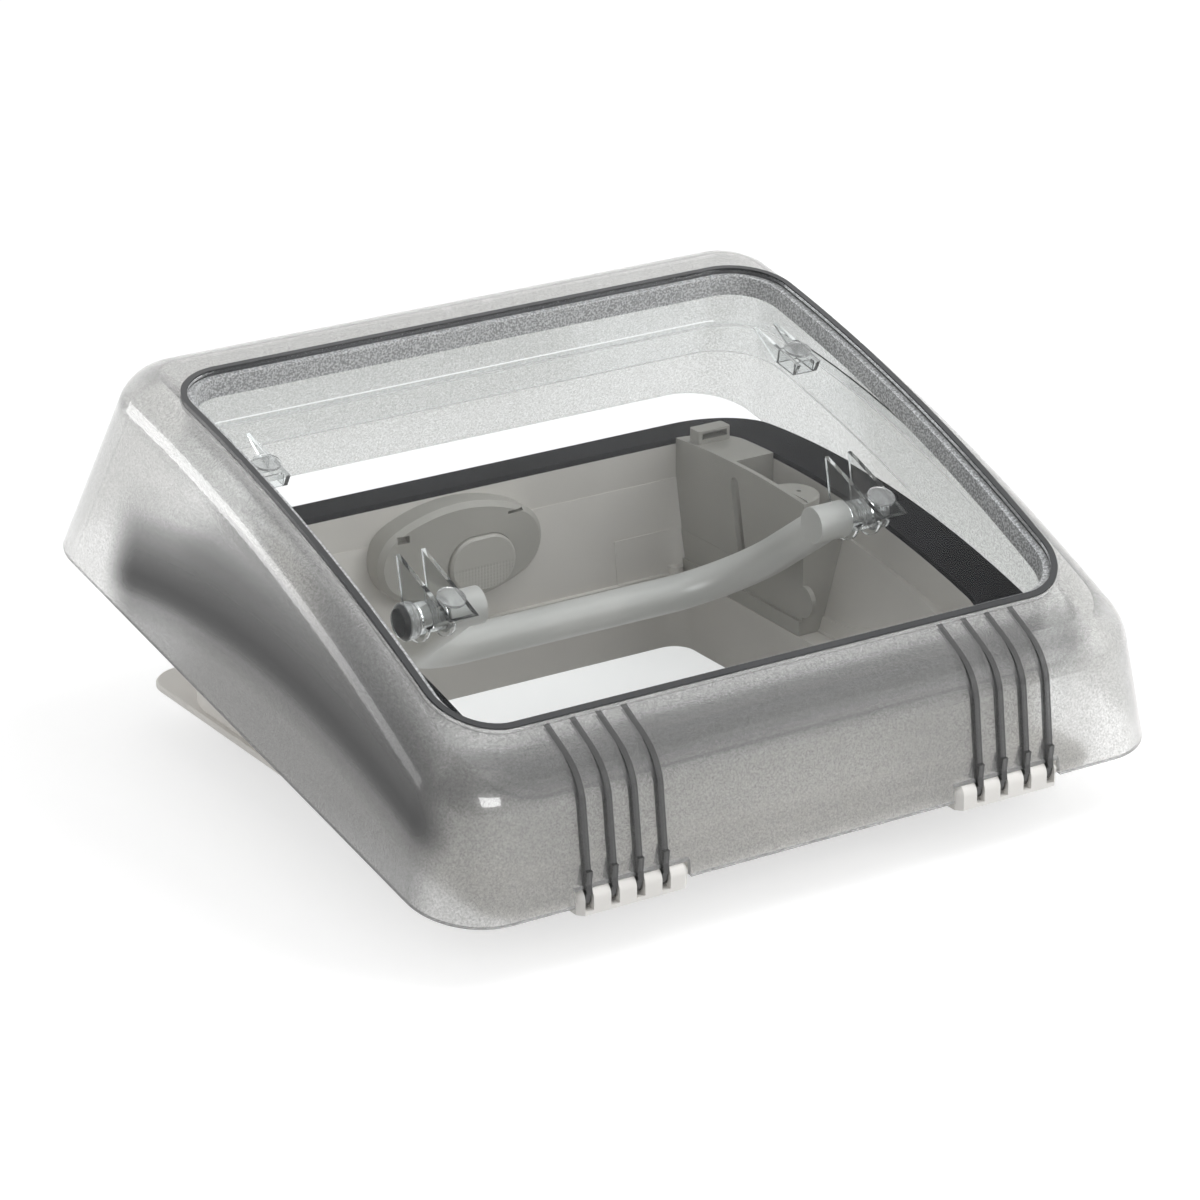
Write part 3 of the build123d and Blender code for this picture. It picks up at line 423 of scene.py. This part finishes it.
def clear_acrylic(name, colour, light_tint, specular, ior=ACRYLIC_IOR):
    """Clear sheet that lets lamps and soft light straight through and keeps its gloss."""
    finish, tree, _ = new_finish(name)
    sheet = add(tree, "BsdfPrincipled",
                {"Base Color": linear(colour), "Roughness": 0.0, "IOR": ior,
                 "Transmission Weight": 1.0, "Specular Tint": linear(specular)})
    path = add(tree, "LightPath", {})
    lights = add(tree, "Math", {"operation": "MAXIMUM"},
                 [(0, path.outputs["Is Shadow Ray"]), (1, path.outputs["Is Diffuse Ray"])])
    clear = add(tree, "BsdfTransparent", {"Color": linear(light_tint)})
    mixed = add(tree, "MixShader", {}, [(0, lights.outputs["Value"]),
                                        (1, sheet.outputs["BSDF"]),
                                        (2, clear.outputs["BSDF"])])
    add(tree, "OutputMaterial", {}, [("Surface", mixed.outputs["Shader"])])
    return finish


wear(clear_acrylic("cast_acrylic_clear", PANE_CLEAR, PANE_LIGHT_TINT, PANE_SPECULAR, PANE_IOR),
     "outer_pane", "inner_pane")

# ---- Window bead ------------------------------------------------------------------------
# A dark extruded bead, pressed round the edge of the outer pane.
# The die leaves it smooth and half glossy.
BEAD_DARK = "#3E3F41"
BEAD_SHADE = "#343537"
BEAD_GRAIN_MM = 1.6
BEAD_ROUGHNESS = 0.22
BEAD_RELIEF = 0.15
wear(moulded_plastic("extruded_bead", BEAD_DARK, BEAD_SHADE, BEAD_GRAIN_MM,
                     BEAD_ROUGHNESS, BEAD_RELIEF), "window_bead")

# ---- Pane spacer ------------------------------------------------------------------------
# The wall that keeps the two panes apart and is bonded to both. Its coarse moulded grain
# hides the glue; its speckle, drawn coarse enough to show, is that grain and painted glints.
SPACER_DARK = "#A0A1A3"
SPACER_LIGHT = "#F0F1F2"
SPACER_GRAIN_MM = 1.3
SPACER_DETAIL = 1.0
SPACER_STOPS = (0.40, 0.62)
SPACER_ROUGHNESS = 0.35
spacer_finish, tree, place = new_finish("grained_spacer_painted_glints")
# Painted glints: the light flecks of this speckle also stand for the grain's sparkle.
grain_and_glints = mottle(tree, place, SPACER_GRAIN_MM, SPACER_DETAIL, (SPACER_DARK, SPACER_LIGHT),
              SPACER_STOPS)[1]
wall = add(tree, "BsdfPrincipled", {"Roughness": SPACER_ROUGHNESS}, [("Base Color", grain_and_glints)])
add(tree, "OutputMaterial", {}, [("Surface", wall.outputs["BSDF"])])
wear(spacer_finish, "pane_spacer")

# ---- Brackets ---------------------------------------------------------------------------
# Four pairs of clear gussets that hang from the tray and hold the bow.
# They are injection-moulded acrylic, with polished faces and bright edges.
BRACKET_CLEAR = "#F0F2F2"
BRACKET_LIGHT_TINT = "#E4E4E4"
BRACKET_SPECULAR = "#FFFFFF"
sides = ("right", "left")
brackets = [kind + "_bracket_" + side for kind in ("near", "far") for side in sides]
wear(clear_acrylic("moulded_acrylic_clear", BRACKET_CLEAR, BRACKET_LIGHT_TINT,
                   BRACKET_SPECULAR), *brackets)

# ---- Frosted pads, pins and knobs -------------------------------------------------------
# The bonding pads under the brackets, and the bow's end pins and knobs: small turned or
# moulded pieces in natural acrylic. Their fine matt skin stays see-through, and
# catches the light on the rims.
FROST = "#F6F7F7"
FROST_SHADE = "#E6E7E7"
FROST_HAZE_MM = 3.0
FROST_STOPS = (0.3, 0.7)
FROST_ROUGHNESS = 0.16
FROST_CLARITY = 0.93
FROST_LIGHT_TINT = "#E4E4E4"
frost_finish, tree, place = new_finish("frosted_acrylic")
haze = mottle(tree, place, FROST_HAZE_MM, GRAIN_DETAIL, (FROST_SHADE, FROST), FROST_STOPS)[1]
frosted = add(tree, "BsdfPrincipled",
              {"Roughness": FROST_ROUGHNESS, "IOR": ACRYLIC_IOR,
               "Transmission Weight": FROST_CLARITY}, [("Base Color", haze)])
path = add(tree, "LightPath", {})
clear = add(tree, "BsdfTransparent", {"Color": linear(FROST_LIGHT_TINT)})
matt = add(tree, "MixShader", {}, [(0, path.outputs["Is Shadow Ray"]),
                                   (1, frosted.outputs["BSDF"]),
                                   (2, clear.outputs["BSDF"])])
add(tree, "OutputMaterial", {}, [("Surface", matt.outputs["Shader"])])
pads = [kind + "_pad_" + side for kind in ("near", "far") for side in sides]
bow_ends = [kind + side for kind in ("bow_pin_", "bow_knob_") for side in sides]
wear(frost_finish, *pads, *bow_ends)

# ---- Lifting bow ------------------------------------------------------------------------
# The bent tube that the hand pulls to lift or shut the lid. It is smooth grey polyamide
# with a satin sheen, and turns on its two end pins.
BOW_GREY = "#DADAD7"
BOW_SHADE = "#D0D1CE"
BOW_GRAIN_MM = 0.6
BOW_ROUGHNESS = 0.34
BOW_RELIEF = 0.05
wear(moulded_plastic("satin_polyamide", BOW_GREY, BOW_SHADE, BOW_GRAIN_MM, BOW_ROUGHNESS,
                     BOW_RELIEF), "bow_tube")

# ---- Floor ------------------------------------------------------------------------------
# A wide sheet of matt white studio paper, level with the lowest edge of the collar.
# It glows towards the eye, glass and metal, so it is white there and keeps the shadow.
FLOOR_SIZE = 12.0
PAPER_WHITE = "#C4C4C4"
PAPER_GLOW = 0.62


def background_rays(tree):
    """1 for the rays that see the white background: camera, transmission and glossy."""
    path = add(tree, "LightPath", {})
    direct = add(tree, "Math", {"operation": "MAXIMUM"},
                 [(0, path.outputs["Is Camera Ray"]), (1, path.outputs["Is Transmission Ray"])])
    every = add(tree, "Math", {"operation": "MAXIMUM"},
                [(0, direct.outputs["Value"]), (1, path.outputs["Is Glossy Ray"])])
    return every.outputs["Value"]


bpy.ops.mesh.primitive_plane_add(size=FLOOR_SIZE, location=(0, 0, cad_box[0][2]))
floor = bpy.context.active_object
floor.name = "studio_floor"
paper_finish, tree, _ = new_finish("white_paper")
paper = add(tree, "BsdfDiffuse", {"Color": linear(PAPER_WHITE)})
lift = add(tree, "Math", {"operation": "MULTIPLY", 1: PAPER_GLOW}, [(0, background_rays(tree))])
glow = add(tree, "Emission", {"Color": (1, 1, 1, 1)}, [("Strength", lift.outputs["Value"])])
lit_paper = add(tree, "AddShader", {}, [(0, paper.outputs["BSDF"]),
                                        (1, glow.outputs["Emission"])])
add(tree, "OutputMaterial", {}, [("Surface", lit_paper.outputs["Shader"])])
floor.data.materials.append(paper_finish)

# ---- Studio walls -----------------------------------------------------------------------
# A plain white room all round. It is full white to the eye and in reflections, and
# gives the object a softer, lower light.
ROOM_LIGHT = 0.6
ROOM_WHITE = 1.0
world = bpy.data.worlds.new("studio")
bpy.context.scene.world = world
world.use_nodes = True
tree = world.node_tree
tree.nodes.clear()
level = add(tree, "MapRange", {"To Min": ROOM_LIGHT, "To Max": ROOM_WHITE},
            [("Value", background_rays(tree))])
sky = add(tree, "Background", {"Color": (1, 1, 1, 1)}, [("Strength", level.outputs["Result"])])
add(tree, "OutputWorld", {}, [("Surface", sky.outputs["Background"])])

# ---- Studio light -----------------------------------------------------------------------
# Soft rectangular boxes aimed at the middle of the lid, with sizes in metres and power
# in watts. Some are kept out of reflections, and the card in front only makes one.
SUBJECT = Vector((0, 0.02, 0.10))


def softbox(name, place, width, height, watts, mirrored=True, lit=True):
    """A lamp aimed at the object; it may be kept out of reflections, or only be seen there."""
    data = bpy.data.lights.new(name, "AREA")
    data.shape = "RECTANGLE"
    data.size = width
    data.size_y = height
    data.energy = watts
    box = bpy.data.objects.new(name, data)
    bpy.context.scene.collection.objects.link(box)
    box.location = place
    box.rotation_euler = (SUBJECT - Vector(place)).to_track_quat("-Z", "Y").to_euler()
    box.visible_glossy = mirrored
    box.visible_diffuse = lit
    box.visible_transmission = lit


softbox("overhead_box", place=(0.9, -0.6, 2.3), width=1.6, height=1.6, watts=22,
        mirrored=False)
softbox("left_strip", place=(-1.75, 1.45, 0.55), width=1.3, height=0.55, watts=9)
softbox("right_box", place=(1.7, -2.0, 1.2), width=1.2, height=1.2, watts=22,
        mirrored=False)
softbox("front_card", place=(-0.43, -2.5, 1.35), width=1.3, height=0.8, watts=45,
        lit=False)

# ---- Camera -----------------------------------------------------------------------------
# A long lens a little above the object, off its front left corner.
# Place in metres, aim as a direction.
CAMERA_LENS_MM = 143.28
CAMERA_SENSOR_MM = 36.0
CAMERA_PLACE = (-1.534, -2.369, 1.212)
CAMERA_AIM = (0.5023, 0.7807, -0.3717)
camera_data = bpy.data.cameras.new("camera")
camera_data.sensor_width = CAMERA_SENSOR_MM
camera_data.lens = CAMERA_LENS_MM
camera = bpy.data.objects.new("camera", camera_data)
bpy.context.scene.collection.objects.link(camera)
camera.location = CAMERA_PLACE
camera.rotation_euler = Vector(CAMERA_AIM).to_track_quat("-Z", "Y").to_euler()
bpy.context.scene.camera = camera
bpy.context.scene.view_settings.view_transform = "Standard"
